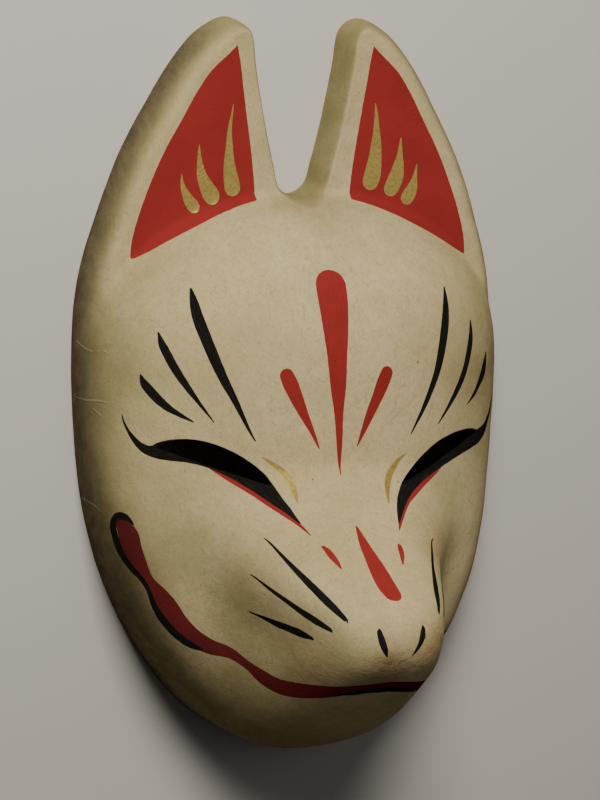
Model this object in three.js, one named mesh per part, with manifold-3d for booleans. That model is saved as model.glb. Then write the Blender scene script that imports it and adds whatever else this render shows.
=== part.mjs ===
// A kitsune (fox) mask of moulded paper, hollow behind, with two cut eye slits.
//
// Millimetres. The mask lies face up: its rim rests on z = 0, +Z comes out of the face,
// +Y points to the ears and +X is the viewer's right. The face is symmetric about x = 0.
//
// The outer skin is a height over the plan. It blends a domed face, a long muzzle and a
// low slab that forms the ears and the side walls. The skin is laid out as rings that
// close in from the rim to a spine of three strokes: up the face and out into each ear.

import * as THREE from 'three';
import { mergeVertices } from 'three/addons/utils/BufferGeometryUtils.js';
import Module from 'manifold-3d';

// Driving dimensions of the whole mask
const wall = 2.4;
const faceHalfWidth = 86.4;
const widestY = 12.8;
const chinY = -138.75;
const earTipX = 27;
const earTipY = 138.75;
const notchY = 72.4;

// The domed face: its height, where it is highest, and where the crown meets the ears
const domeHeight = 51.5;
const domePeakY = 6.8;
const crownY = 76.5;
const crownPower = 1.8;
const crownPlanPower = 2.1;
const chinStartY = -68.8;
const chinPower = 2.35;
const chinFullness = 0.3;
const browFullness = 0.46;
const cheekFullness = 0.19;
const browY = 19;
const cheekY = -101;

// The muzzle: how far it stands over the dome, where it starts and where it is full
const muzzleRise = 79.5;
const muzzleStartY = -21.5;
const muzzleFullY = -97.8;
const muzzleRootHalfWidth = 43.6;
const muzzleTipHalfWidth = 32.9;
const muzzleTaperStartY = -41;
const muzzleTaperEndY = -86;
const muzzlePower = 4;
const noseY = -67.2;
const nosePower = 1.2;
const noseFullness = 1.1;

// The ear slab: its height over the rim and how softly its edges roll over
const earHeight = 14.5;
const outerEdgeRadius = 8.4;
const innerEdgeRadius = 3.5;
const edgeFullness = 0.6;
const creaseBlend = 7;

// How finely the skin is divided
const loopSteps = 104;
const ringSteps = 21;
const lineSamples = 160;
const curveSteps = 24;

// Half of the rim's outline, from the chin round the cheek and the ear to the notch
const outlinePoints = [
  [0, chinY],
  [20.8, chinY + 5.5],
  [39.9, chinY + 18],
  [56.9, chinY + 38.5],
  [70.6, chinY + 63.5],
  [79.6, -48.2],
  [84.4, -19.2],
  [faceHalfWidth, widestY],
  [84, 42.8],
  [78, 63.8],
  [70, 85.8],
  [59.8, earTipY - 34],
  [48, earTipY - 15.4],
  [earTipX + 10.4, earTipY - 4.4],
  [earTipX, earTipY],
  [earTipX - 6.7, earTipY - 4],
  [17.4, notchY + 47.4],
  [13.6, notchY + 27.9],
  [9.8, notchY + 12.4],
  [6.8, notchY + 3.4],
  [0, notchY],
];
const earTipIndex = 14;
const earBaseIndex = 8;

// The spine that the rings close on, from the chin up the face and out into one ear
const spineFoot = [0, chinY + 41.5];
const spineFork = [0, 41];
const earSpine = [spineFork, [14, 61], [25, 87], [earTipX + 1.5, earTipY - 18]];

// One eye slit in plan, from its inner corner over the top and back below
const eyePoints = [
  [27, -30.4],
  [33, -24.2],
  [43, -17.6],
  [52, -14.5],
  [60, -14.2],
  [65.3, -16.6],
  [58, -20],
  [48, -23.8],
  [37, -28.2],
];
const eyeSteps = 4;

function smoothStep(t) {
  const s = Math.min(Math.max(t, 0), 1);
  return s * s * (3 - 2 * s);
}

function between(low, high, t) {
  return low + (high - low) * t;
}

// The outline as a fine polyline: one smooth closed curve, of which the +X half is kept
function halfOutline() {
  const last = outlinePoints.length - 1;
  const right = outlinePoints.map(([x, y]) => new THREE.Vector3(x, y, 0));
  const left = outlinePoints.slice(1, last).reverse().map(([x, y]) => new THREE.Vector3(-x, y, 0));
  const curve = new THREE.CatmullRomCurve3([...right, ...left], true, 'centripetal');
  const count = right.length + left.length;
  const points = [];
  for (let i = 0; i <= last * curveSteps; i += 1) {
    const p = curve.getPoint(i / (count * curveSteps));
    points.push([Math.max(p.x, 0), p.y]);
  }
  points[last * curveSteps][0] = 0;
  return points;
}

const outline = halfOutline();
const outlineLengths = runningLengths(outline);
const widestIndex = outline.reduce((best, p, i) => (p[0] > outline[best][0] ? i : best), 0);

function runningLengths(points) {
  const lengths = [0];
  for (let i = 1; i < points.length; i += 1) {
    const step = points[i].map((value, k) => value - points[i - 1][k]);
    lengths.push(lengths[i - 1] + Math.hypot(...step));
  }
  return lengths;
}

// The point at a given distance along a polyline
function pointAt(points, lengths, distance) {
  let i = 1;
  while (i < lengths.length - 1 && lengths[i] < distance) i += 1;
  const span = lengths[i] - lengths[i - 1];
  const t = span > 0 ? Math.min(Math.max((distance - lengths[i - 1]) / span, 0), 1) : 0;
  return points[i].map((value, k) => between(points[i - 1][k], value, t));
}

// Half the width of the domed face at y: the rim's below its widest place, an oval above
function faceWidthAt(y) {
  if (y >= outline[widestIndex][1]) {
    const [width, top] = outline[widestIndex];
    const t = (y - top) / (crownY - top);
    return width * Math.sqrt(Math.max(1 - t ** crownPlanPower, 0));
  }
  let i = 1;
  while (i < widestIndex && outline[i][1] < y) i += 1;
  const [x0, y0] = outline[i - 1];
  const [x1, y1] = outline[i];
  return between(x0, x1, Math.max((y - y0) / (y1 - y0), 0));
}

function faceHeight(x, y) {
  const share = Math.min(Math.abs(x) / Math.max(faceWidthAt(y), 0.001), 1);
  const upShare = Math.min(Math.max((y - domePeakY) / (crownY - domePeakY), 0), 1);
  const downShare = Math.min(Math.max((chinStartY - y) / (chinStartY - chinY), 0), 1);
  const crown = Math.sqrt(1 - upShare ** crownPower);
  const chin = (1 - downShare ** chinPower) ** chinFullness;
  const fullness = between(browFullness, cheekFullness, smoothStep((browY - y) / (browY - cheekY)));
  const dome = domeHeight * crown * chin * (1 - share * share) ** fullness;

  const rise = smoothStep((muzzleStartY - y) / (muzzleStartY - muzzleFullY));
  const taper = smoothStep((muzzleTaperStartY - y) / (muzzleTaperStartY - muzzleTaperEndY));
  const halfWidth = between(muzzleRootHalfWidth, muzzleTipHalfWidth, taper);
  const noseShare = Math.min(Math.max((noseY - y) / (noseY - chinY), 0), 1);
  const nose = (1 - noseShare ** nosePower) ** noseFullness;
  const side = Math.exp(-((Math.abs(x) / halfWidth) ** muzzlePower));
  const rimFade = Math.sqrt(1 - share ** 8);
  return dome + muzzleRise * rise * nose * side * rimFade;
}

// The distance from a point to the rim, and how far round the rim its nearest place is
function rimDistance(x, y) {
  let best = Infinity;
  let place = 0;
  for (let i = 1; i < outline.length; i += 1) {
    const [ax, ay] = outline[i - 1];
    const dx = outline[i][0] - ax;
    const dy = outline[i][1] - ay;
    const along = ((x - ax) * dx + (y - ay) * dy) / (dx * dx + dy * dy);
    const t = Math.min(Math.max(along, 0), 1);
    const distance = Math.hypot(x - ax - t * dx, y - ay - t * dy);
    if (distance < best) {
      best = distance;
      place = (i - 1 + t) / curveSteps;
    }
  }
  return [best, place];
}

function skinHeight(x, y) {
  const [distance, place] = rimDistance(Math.abs(x), y);
  const inner = smoothStep((place - earTipIndex + 1) / 2);
  const edgeRadius = between(outerEdgeRadius, innerEdgeRadius, inner);
  const edgeShare = Math.min(distance / edgeRadius, 1);
  const slab = earHeight * (1 - (1 - edgeShare) ** 2) ** edgeFullness;

  // Between the ears the forehead rolls down to the notch as the ears' inner edges do
  const notchShare = Math.min(distance / innerEdgeRadius, 1);
  const notchRoll = between(1, Math.sqrt(1 - (1 - notchShare) ** 2), inner);
  const face = faceHeight(x, y) * notchRoll;

  const overlap = Math.max(creaseBlend - Math.abs(face - slab), 0);
  const fillet = (overlap * overlap) / (4 * creaseBlend);
  return Math.max(face, slab) + fillet * Math.min(slab / earHeight, 1);
}

// One line from the rim to the spine, its points at equal steps over the curved skin
function skinLine(rim, spine) {
  const samples = [];
  for (let i = 0; i <= lineSamples; i += 1) {
    const t = (i / lineSamples) ** 1.6;
    const x = between(rim[0], spine[0], t);
    const y = between(rim[1], spine[1], t);
    samples.push([x, y, i === 0 ? 0 : skinHeight(x, y)]);
  }
  const lengths = runningLengths(samples);
  const line = [];
  for (let j = 0; j <= ringSteps; j += 1) {
    const [x, y] = pointAt(samples, lengths, (lengths[lineSamples] * j) / ringSteps);
    line.push([x, y, j === 0 ? 0 : skinHeight(x, y)]);
  }
  return line;
}

// The lines of the +X half, in order from the chin to the notch
function halfLines() {
  const total = outlineLengths[outlineLengths.length - 1];
  const earBase = outlineLengths[earBaseIndex * curveSteps];
  const earTip = outlineLengths[earTipIndex * curveSteps];
  const faceSteps = Math.round((loopSteps / 2) * (earBase / total));
  const earSteps = Math.round((loopSteps / 2 - faceSteps) / 2);
  const earLengths = runningLengths(earSpine);
  const earSpineLength = earLengths[earLengths.length - 1];
  const lines = [];
  for (let i = 0; i < faceSteps; i += 1) {
    const t = i / faceSteps;
    const spine = [0, between(spineFoot[1], spineFork[1], t)];
    lines.push(skinLine(pointAt(outline, outlineLengths, earBase * t), spine));
  }
  for (let i = 0; i < earSteps; i += 1) {
    const t = i / earSteps;
    const rim = pointAt(outline, outlineLengths, between(earBase, earTip, t));
    lines.push(skinLine(rim, pointAt(earSpine, earLengths, earSpineLength * t)));
  }
  for (let i = 0; i <= earSteps; i += 1) {
    const t = i / earSteps;
    const rim = pointAt(outline, outlineLengths, between(earTip, total, t));
    lines.push(skinLine(rim, pointAt(earSpine, earLengths, earSpineLength * (1 - t))));
  }
  return lines;
}

// Points and triangles of the outer skin, welded where lines share a point of the spine
function outerSkin() {
  const half = halfLines();
  const mirrored = half.slice(1, -1).reverse().map((line) => line.map(([x, y, z]) => [-x, y, z]));
  const loop = [...half, ...mirrored];
  const points = [];
  const known = new Map();
  const ids = loop.map((line) => line.map((p) => {
    const key = p.map((value) => Math.round(value * 1000)).join(',');
    if (!known.has(key)) {
      known.set(key, points.length);
      points.push(new THREE.Vector3(...p));
    }
    return known.get(key);
  }));
  const triangles = [];
  const addTriangle = (a, b, c) => {
    if (a !== b && b !== c && c !== a) triangles.push([a, b, c]);
  };
  // Each four-sided cell is split along its shorter diagonal
  const addCell = (a, b, c, d) => {
    if (points[a].distanceTo(points[c]) <= points[b].distanceTo(points[d])) {
      addTriangle(a, b, c);
      addTriangle(a, c, d);
    } else {
      addTriangle(b, c, d);
      addTriangle(b, d, a);
    }
  };
  for (let i = 0; i < loop.length; i += 1) {
    const next = (i + 1) % loop.length;
    for (let j = 0; j < ringSteps; j += 1) {
      addCell(ids[i][j], ids[next][j], ids[next][j + 1], ids[i][j + 1]);
    }
  }
  return { points, triangles, rim: ids.map((line) => line[0]) };
}

// The mean outward direction of the skin at each point
function skinNormals(points, triangles) {
  const normals = points.map(() => new THREE.Vector3());
  for (const [a, b, c] of triangles) {
    const ab = points[b].clone().sub(points[a]);
    const ac = points[c].clone().sub(points[a]);
    const face = ab.cross(ac);
    for (const k of [a, b, c]) normals[k].add(face);
  }
  return normals.map((normal) => normal.normalize());
}

// The shell: the outer skin, the same skin one wall further in, and the flat rim between
function shellGeometry() {
  const { points, triangles, rim } = outerSkin();
  const normals = skinNormals(points, triangles);
  for (const k of rim) normals[k].setZ(0).normalize();
  const inner = points.map((p, k) => p.clone().addScaledVector(normals[k], -wall));
  const count = points.length;
  const index = [];
  for (const [a, b, c] of triangles) {
    index.push(a, b, c, count + a, count + c, count + b);
  }
  for (let i = 0; i < rim.length; i += 1) {
    const a = rim[i];
    const b = rim[(i + 1) % rim.length];
    index.push(a, count + b, b, a, count + a, count + b);
  }
  const positions = [...points, ...inner].flatMap((p) => [p.x, p.y, p.z]);
  const geometry = new THREE.BufferGeometry();
  geometry.setAttribute('position', new THREE.Float32BufferAttribute(positions, 3));
  geometry.setIndex(index);
  return geometry;
}

// A prism of the eye slit's outline, from the rim's plane to above the highest skin
function eyeCutter(side) {
  const loop = eyePoints.map(([x, y]) => new THREE.Vector3(side * x, y, 0));
  const curve = new THREE.CatmullRomCurve3(loop, true, 'centripetal');
  const plan = curve.getPoints(eyePoints.length * eyeSteps).slice(0, -1);
  const shape = new THREE.Shape(plan.map((p) => new THREE.Vector2(p.x, p.y)));
  return new THREE.ExtrudeGeometry(shape, { depth: domeHeight + muzzleRise, bevelEnabled: false });
}

const wasm = await Module();
wasm.setup();

function solidOf(geometry) {
  const bare = geometry.clone();
  bare.deleteAttribute('normal');
  bare.deleteAttribute('uv');
  const merged = mergeVertices(bare);
  return new wasm.Manifold(new wasm.Mesh({
    numProp: 3,
    vertProperties: new Float32Array(merged.attributes.position.array),
    triVerts: new Uint32Array(merged.index.array),
  }));
}

function geometryOf(solid) {
  const mesh = solid.getMesh();
  const geometry = new THREE.BufferGeometry();
  geometry.setAttribute('position', new THREE.BufferAttribute(mesh.vertProperties, 3));
  geometry.setIndex(new THREE.BufferAttribute(mesh.triVerts, 1));
  geometry.computeVertexNormals();
  return geometry;
}

// The painted paper mask, with both eye slits cut through its wall
function mask() {
  let solid = solidOf(shellGeometry());
  for (const side of [-1, 1]) solid = solid.subtract(solidOf(eyeCutter(side)));
  const paper = new THREE.MeshStandardMaterial({ color: '#cfc4a4', roughness: 0.6, metalness: 0 });
  const mesh = new THREE.Mesh(geometryOf(solid), paper);
  mesh.name = 'mask';
  return mesh;
}

const kitsuneMask = new THREE.Group();
kitsuneMask.add(mask());

export default kitsuneMask;
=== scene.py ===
# %% [markdown]
# This lesson dresses one object: a fox mask of moulded paper. On the real mask, layers of
# pasted paper are pressed in a mould, dried, primed with a shell-white ground, and painted
# with red, black and gold brush marks. The mask lies face up on a pale floor.
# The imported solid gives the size. A finer shell of the same form is modelled over it here,
# because a solid with few faces can't carry thin brush lines or the skin's soft turns.

import math

import bpy
import numpy as np
from mathutils import Matrix, Vector


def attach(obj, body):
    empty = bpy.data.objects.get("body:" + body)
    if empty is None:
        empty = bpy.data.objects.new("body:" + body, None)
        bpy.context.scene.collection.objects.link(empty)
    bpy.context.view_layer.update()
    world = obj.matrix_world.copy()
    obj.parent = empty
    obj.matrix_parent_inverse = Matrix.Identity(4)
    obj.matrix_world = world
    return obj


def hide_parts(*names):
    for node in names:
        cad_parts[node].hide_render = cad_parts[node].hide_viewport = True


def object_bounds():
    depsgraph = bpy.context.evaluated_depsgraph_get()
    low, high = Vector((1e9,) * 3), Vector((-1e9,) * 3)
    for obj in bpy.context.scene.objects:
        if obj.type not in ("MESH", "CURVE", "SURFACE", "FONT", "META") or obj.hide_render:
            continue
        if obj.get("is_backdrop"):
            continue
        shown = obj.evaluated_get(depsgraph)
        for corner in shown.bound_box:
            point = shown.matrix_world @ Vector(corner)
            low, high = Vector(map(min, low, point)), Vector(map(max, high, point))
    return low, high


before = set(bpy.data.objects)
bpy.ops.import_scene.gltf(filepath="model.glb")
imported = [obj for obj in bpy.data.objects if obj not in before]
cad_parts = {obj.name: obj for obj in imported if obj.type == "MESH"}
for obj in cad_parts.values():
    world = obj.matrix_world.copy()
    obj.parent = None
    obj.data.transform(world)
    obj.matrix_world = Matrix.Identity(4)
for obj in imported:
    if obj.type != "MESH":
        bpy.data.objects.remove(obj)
cad_low, cad_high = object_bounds()
MM = 0.001
print("solid", [round(side / MM, 1) for side in cad_high - cad_low], "mm")

# %% [markdown]
# The camera comes first, so that every later look is judged from the photograph's place.
# The two halves of the painted face were solved as mirror images, which gave the turn, the
# tilt and the distance. A long lens a good metre away keeps the ears and chin in proportion.

# %% Camera at the photograph's viewing angle
camera_turn = math.radians(-25.0)
camera_tilt = math.radians(-8.0)
camera_roll = math.radians(1.583)
camera_distance = 1.332
camera_slide = -0.01226
camera_lens_mm = 162.0
looked_at = Vector((0, -0.00014, 0.04662))


def added(operator, **settings):
    """Runs an operator that adds a thing, with nothing else selected, and gives the thing."""
    bpy.ops.object.select_all(action="DESELECT")
    operator(**settings)
    return bpy.context.active_object


camera = added(bpy.ops.object.camera_add)
camera.name = "photo_camera"
camera.data.lens = camera_lens_mm
camera.matrix_world = (
    Matrix.Translation(looked_at)
    @ Matrix.Rotation(camera_turn, 4, "Y")
    @ Matrix.Rotation(camera_tilt, 4, "X")
    @ Matrix.Rotation(camera_roll, 4, "Z")
    @ Matrix.Translation((camera_slide, 0, camera_distance))
)
bpy.context.scene.camera = camera
print("camera at", [round(v, 3) for v in camera.matrix_world.translation])

# %% [markdown]
# The floor is one plain pale sheet, far larger than the mask. It isn't part of the object,
# so it is marked as stage.

# %% Floor
floor_size = 6.0
floor_colour = (0.62, 0.61, 0.59, 1)
floor_roughness = 0.9

floor = added(bpy.ops.mesh.primitive_plane_add, size=floor_size)
floor.name = "floor"
floor_finish = bpy.data.materials.new("pale_floor")
floor_finish.use_nodes = True
floor_shader = floor_finish.node_tree.nodes["Principled BSDF"]
floor_shader.inputs["Base Color"].default_value = floor_colour
floor_shader.inputs["Roughness"].default_value = floor_roughness
floor.data.materials.append(floor_finish)
floor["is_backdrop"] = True
print("floor", floor_size, "m square")

# %% [markdown]
# The rim is drawn first, as a mask maker draws it round the mould: chin, cheek, outer edge
# of the ear, ear tip, and down to the notch between the ears. Only one half is written,
# with few points, and a smooth curve runs through them. The overall sizes come from the
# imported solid, so the two can't drift apart. Shapes are worked out in millimetres.

# %% Rim outline
half_width = cad_high.x / MM
chin_y = cad_low.y / MM
tip_x = 27
tip_y = cad_high.y / MM
notch_y = 72.4
curve_steps = 24
tip_index = 14
ear_base_index = 8
half_outline = [
    (0, chin_y), (20.8, chin_y + 5.5), (39.9, chin_y + 18), (56.9, chin_y + 38.5),
    (70.6, chin_y + 63.5), (79.6, -48.2), (84.4, -19.2), (half_width, 12.8), (84, 42.8),
    (78, 63.8), (70, 85.8), (59.8, tip_y - 34), (48, tip_y - 15.4), (tip_x + 10.4, tip_y - 4.4),
    (tip_x, tip_y), (tip_x - 6.7, tip_y - 4), (17.4, notch_y + 47.4), (13.6, notch_y + 27.9),
    (9.8, notch_y + 12.4), (6.8, notch_y + 3.4), (0, notch_y),
]


def smooth_curve(points, steps, closed=False):
    """A curve through all the points, with the given steps from each to the next."""
    points = np.asarray(points, float)
    if closed:
        around = np.vstack([points[-1:], points, points[:2]])
    else:
        before = 2 * points[0] - points[1]
        after = 2 * points[-1] - points[-2]
        around = np.vstack([before, points, after])
    spans = []
    for p0, p1, p2, p3 in zip(around, around[1:], around[2:], around[3:]):
        t1 = math.sqrt(np.linalg.norm(p1 - p0))
        t2 = t1 + math.sqrt(np.linalg.norm(p2 - p1))
        t3 = t2 + math.sqrt(np.linalg.norm(p3 - p2))
        t = np.linspace(t1, t2, steps, endpoint=False)[:, None]
        a1 = (t1 - t) / t1 * p0 + t / t1 * p1
        a2 = ((t2 - t) * p1 + (t - t1) * p2) / (t2 - t1)
        a3 = ((t3 - t) * p2 + (t - t2) * p3) / (t3 - t2)
        b1 = (t2 - t) / t2 * a1 + t / t2 * a2
        b2 = ((t3 - t) * a2 + (t - t1) * a3) / (t3 - t1)
        spans.append(((t2 - t) * b1 + (t - t1) * b2) / (t2 - t1))
    if not closed:
        spans.append(points[-1:])
    return np.vstack(spans)


def running_lengths(points):
    """The distance along a polyline to each of its points."""
    steps = np.linalg.norm(np.diff(points, axis=0), axis=1)
    return np.concatenate([[0], np.cumsum(steps)])


left_points = [(-x, y) for x, y in reversed(half_outline[1:-1])]
whole_outline = smooth_curve(half_outline + left_points, curve_steps, closed=True)
outline = whole_outline[: (len(half_outline) - 1) * curve_steps + 1].copy()
outline[:, 0] = np.maximum(outline[:, 0], 0)
outline[-1, 0] = 0
outline_lengths = running_lengths(outline)
widest = int(np.argmax(outline[:, 0]))
print("half rim", round(outline_lengths[-1]), "mm in", len(outline), "points")

# %% [markdown]
# A mould for such a mask is carved as three forms that run into each other: a broad dome
# for the face, a long muzzle standing out of it, and a low flat slab that makes the ears
# and the side walls. Each is a height over the plan. The crease where the ears meet the
# brow is a soft blend, and the slab's edge rolls over widely outside and tightly inside.

# %% Height of the skin over the plan
dome_height = 51.5
dome_peak_y = 6.8
crown_y = 76.5
crown_power = 1.8
crown_plan_power = 2.1
chin_start_y = -68.8
chin_power = 2.35
chin_fullness = 0.3
brow_fullness = 0.46
cheek_fullness = 0.19
brow_y = 19
cheek_y = -101
muzzle_rise = 79.5
muzzle_start_y = -21.5
muzzle_full_y = -97.8
muzzle_root_half_width = 43.6
muzzle_tip_half_width = 32.9
taper_start_y = -41
taper_end_y = -86
muzzle_power = 4
nose_y = -67.2
nose_power = 1.2
nose_fullness = 1.1
ear_height = 14.5
outer_edge_radius = 8.4
inner_edge_radius = 3.5
edge_fullness = 0.6
crease_blend = 7
points_at_once = 4000


def smooth_step(t):
    t = np.clip(t, 0, 1)
    return t * t * (3 - 2 * t)


def ease(value, start, end):
    return smooth_step((value - start) / (end - start))


def between(low, high, t):
    return low + (high - low) * t


def face_width(y):
    """Half the dome's width: the rim's own below the widest place, an oval above it."""
    width, top = outline[widest]
    below = np.interp(y, outline[: widest + 1, 1], outline[: widest + 1, 0])
    rise = np.maximum(y - top, 0) / (crown_y - top)
    above = width * np.sqrt(np.maximum(1 - rise**crown_plan_power, 0))
    return np.where(y < top, below, above)


def face_height(x, y):
    """The dome with the muzzle on it."""
    share = np.clip(np.abs(x) / np.maximum(face_width(y), 0.001), 0, 1)
    up_share = np.clip((y - dome_peak_y) / (crown_y - dome_peak_y), 0, 1)
    down_share = np.clip((chin_start_y - y) / (chin_start_y - chin_y), 0, 1)
    crown = np.sqrt(1 - up_share**crown_power)
    chin = (1 - down_share**chin_power) ** chin_fullness
    fullness = between(brow_fullness, cheek_fullness, ease(y, brow_y, cheek_y))
    dome = dome_height * crown * chin * (1 - share * share) ** fullness

    rise = ease(y, muzzle_start_y, muzzle_full_y)
    taper = ease(y, taper_start_y, taper_end_y)
    half_width_here = between(muzzle_root_half_width, muzzle_tip_half_width, taper)
    nose_share = np.clip((nose_y - y) / (nose_y - chin_y), 0, 1)
    nose = (1 - nose_share**nose_power) ** nose_fullness
    side = np.exp(-((np.abs(x) / half_width_here) ** muzzle_power))
    rim_fade = np.sqrt(1 - share**8)
    return dome + muzzle_rise * rise * nose * side * rim_fade


def rim_distance(x, y):
    """Distance to the rim, and how far round the half outline its nearest place is."""
    spots = np.stack([np.abs(x).ravel(), np.ravel(y)], axis=1)
    starts = outline[:-1]
    runs = outline[1:] - starts
    squares = (runs * runs).sum(axis=1)
    distance = np.empty(len(spots))
    place = np.empty(len(spots))
    for first in range(0, len(spots), points_at_once):
        part = spots[first : first + points_at_once, None]
        t = np.clip(((part - starts) * runs).sum(axis=2) / squares, 0, 1)
        gaps = np.linalg.norm(part - starts - t[..., None] * runs, axis=2)
        nearest = gaps.argmin(axis=1)
        rows = np.arange(len(nearest))
        distance[first : first + points_at_once] = gaps[rows, nearest]
        place[first : first + points_at_once] = (nearest + t[rows, nearest]) / curve_steps
    return distance.reshape(np.shape(x)), place.reshape(np.shape(x))


def skin_height(x, y):
    """Height of the outer skin over the rim, in millimetres."""
    distance, place = rim_distance(x, y)
    inner = smooth_step((place - tip_index + 1) / 2)
    edge_radius = between(outer_edge_radius, inner_edge_radius, inner)
    edge_share = np.clip(distance / edge_radius, 0, 1)
    slab = ear_height * (1 - (1 - edge_share) ** 2) ** edge_fullness
    notch_share = np.clip(distance / inner_edge_radius, 0, 1)
    notch_roll = between(1, np.sqrt(1 - (1 - notch_share) ** 2), inner)
    face = face_height(x, y) * notch_roll
    overlap = np.maximum(crease_blend - np.abs(face - slab), 0)
    fillet = overlap**2 / (4 * crease_blend)
    return np.maximum(face, slab) + fillet * np.minimum(slab / ear_height, 1)


print("nose stands", round(float(skin_height(0, -80.0)), 1), "mm over the rim")

# %% [markdown]
# The skin is laid out in rings, from the rim in to a spine that runs up the face and out
# into both ears. The rings keep an even spacing over the curved surface, so the steep sides
# of the muzzle get as many faces as the flat brow. This plan of lines is worked out first.

# %% Lines from the rim to the spine
loop_cells = 560
ring_cells = 80
line_samples = 240
rim_crowding = 1.6
spine_foot = (0, chin_y + 41.5)
spine_fork = (0, 41)
ear_spine_points = [spine_fork, (14, 61), (25, 87), (28, 106), (tip_x + 0.6, tip_y - 18)]
ear_spine = smooth_curve(ear_spine_points, curve_steps)
fan_ease = 1.6


def along(points, lengths, wanted):
    """Points at the wanted distances along a polyline."""
    columns = [np.interp(wanted, lengths, column) for column in points.T]
    return np.stack(columns, axis=1)


def half_lines():
    """Rim points and spine points of the +X half, in pairs from the chin to the notch."""
    total = outline_lengths[-1]
    ear_base = outline_lengths[ear_base_index * curve_steps]
    ear_tip = outline_lengths[tip_index * curve_steps]
    face_steps = round(loop_cells / 2 * ear_base / total)
    ear_steps = round((loop_cells / 2 - face_steps) / 2)
    t_face = np.arange(face_steps) / face_steps
    t_up = np.arange(ear_steps) / ear_steps
    t_down = np.arange(ear_steps + 1) / ear_steps
    places = np.concatenate([
        ear_base * t_face,
        between(ear_base, ear_tip, t_up),
        between(ear_tip, total, t_down),
    ])
    trunk = np.stack([0 * t_face, between(spine_foot[1], spine_fork[1], t_face)], axis=1)
    branch_lengths = running_lengths(ear_spine)
    up = along(ear_spine, branch_lengths, branch_lengths[-1] * (1 - (1 - t_up) ** fan_ease))
    down = along(ear_spine, branch_lengths, branch_lengths[-1] * (1 - t_down**fan_ease))
    return along(outline, outline_lengths, places), np.vstack([trunk, up, down])


def skin_rings():
    """Points of the +X half as [line, ring, xyz], evenly spaced over the skin."""
    rim, spine = half_lines()
    t = (np.arange(line_samples + 1) / line_samples) ** rim_crowding
    plan = rim[:, None] + (spine - rim)[:, None] * t[None, :, None]
    height = skin_height(plan[..., 0], plan[..., 1])
    height[:, 0] = 0
    fine = np.concatenate([plan, height[..., None]], axis=2)
    rings = np.empty((len(rim), ring_cells + 1, 3))
    for number, line in enumerate(fine):
        lengths = running_lengths(line)
        wanted = np.linspace(0, lengths[-1], ring_cells + 1)
        shares = np.interp(wanted, lengths, t)[:, None]
        rings[number, :, :2] = rim[number] + (spine[number] - rim[number]) * shares
    rings[..., 2] = skin_height(rings[..., 0], rings[..., 1])
    rings[:, 0, 2] = 0
    return rings


half_rings = skin_rings()
left_rings = half_rings[1:-1][::-1] * [-1, 1, 1]
rings = np.concatenate([half_rings, left_rings, half_rings[:1]])
print("lines", len(rings), "rings", rings.shape[1])

# %% [markdown]
# The mesh starts as a flat grid, with a column for each line and a row for each ring. Its
# points are moved to their places on the skin. Then the two ends of the grid, and the pairs
# that share a place on the spine, are welded. A grid keeps the faces in clean rows, which a
# sculpted or remeshed shell wouldn't.

# %% Skin of the mask from one grid
weld_distance = 2e-6


def select_only(thing):
    bpy.ops.object.select_all(action="DESELECT")
    thing.select_set(True)
    bpy.context.view_layer.objects.active = thing


def positions(mesh):
    flat = np.empty(len(mesh.vertices) * 3)
    mesh.vertices.foreach_get("co", flat)
    return flat.reshape(-1, 3)


def move_points(mesh, places):
    mesh.vertices.foreach_set("co", np.asarray(places, float).ravel())
    mesh.update()


cells = {"x_subdivisions": len(rings) - 1, "y_subdivisions": ring_cells}
mask = added(bpy.ops.mesh.primitive_grid_add, size=1, **cells)
mask.name = "kitsune_mask"
mask.data.name = "kitsune_mask"
flat = positions(mask.data)
columns = np.rint((flat[:, 0] + 0.5) * (len(rings) - 1)).astype(int)
rows = np.rint((flat[:, 1] + 0.5) * ring_cells).astype(int)
move_points(mask.data, rings[columns, rows] * MM)

bpy.ops.object.mode_set(mode="EDIT")
bpy.ops.mesh.select_all(action="SELECT")
bpy.ops.mesh.remove_doubles(threshold=weld_distance)
bpy.ops.mesh.normals_make_consistent(inside=False)
bpy.ops.object.mode_set(mode="OBJECT")
print("skin", len(mask.data.vertices), "points", len(mask.data.polygons), "faces")

# %% [markdown]
# No mask made by hand is even. The paper rises and falls by a few tenths of a millimetre,
# which shows as soft waves in the light. A Displace modifier with a cloud texture gives
# them, once for broad swells and once for small ones. Then the rim is put flat again,
# because the mask lies on it.

# %% Uneven hand-laid paper
swells = [("broad_swells", 45 * MM, 1.1 * MM), ("small_swells", 12 * MM, 0.3 * MM)]
on_the_rim = 1e-7


def apply_modifier(thing, modifier):
    select_only(thing)
    bpy.ops.object.modifier_apply(modifier=modifier.name)


rim_points = positions(mask.data)[:, 2] < on_the_rim
for name, size, strength in swells:
    cloud = bpy.data.textures.new(name, "CLOUDS")
    cloud.noise_scale = size
    swell = mask.modifiers.new(name, "DISPLACE")
    swell.texture = cloud
    swell.strength = strength
    apply_modifier(mask, swell)
moved = positions(mask.data)
moved[rim_points, 2] = 0
move_points(mask.data, moved)
print("swells of", [strength / MM for _, _, strength in swells], "mm")

# %% [markdown]
# The wall is pasted paper, 2.4 mm thick. Solidify grows it inwards, so the outer skin stays
# where it is. The back is given a second finish, bare paper. The rim's inner edge tips a
# little below the floor as it follows the skin's slope, and is pressed flat too.

# %% Wall of true thickness
wall = 2.4 * MM
tipped_below = 1e-6

paint_finish = bpy.data.materials.new("painted_ground")
bare_finish = bpy.data.materials.new("bare_paper")
ink_finish = bpy.data.materials.new("inked_cut")
for finish in (paint_finish, bare_finish, ink_finish):
    finish.use_nodes = True
    mask.data.materials.append(finish)

shell = mask.modifiers.new("wall", "SOLIDIFY")
shell.thickness = wall
shell.offset = -1
shell.material_offset = 1
shell.material_offset_rim = 1
apply_modifier(mask, shell)

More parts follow.
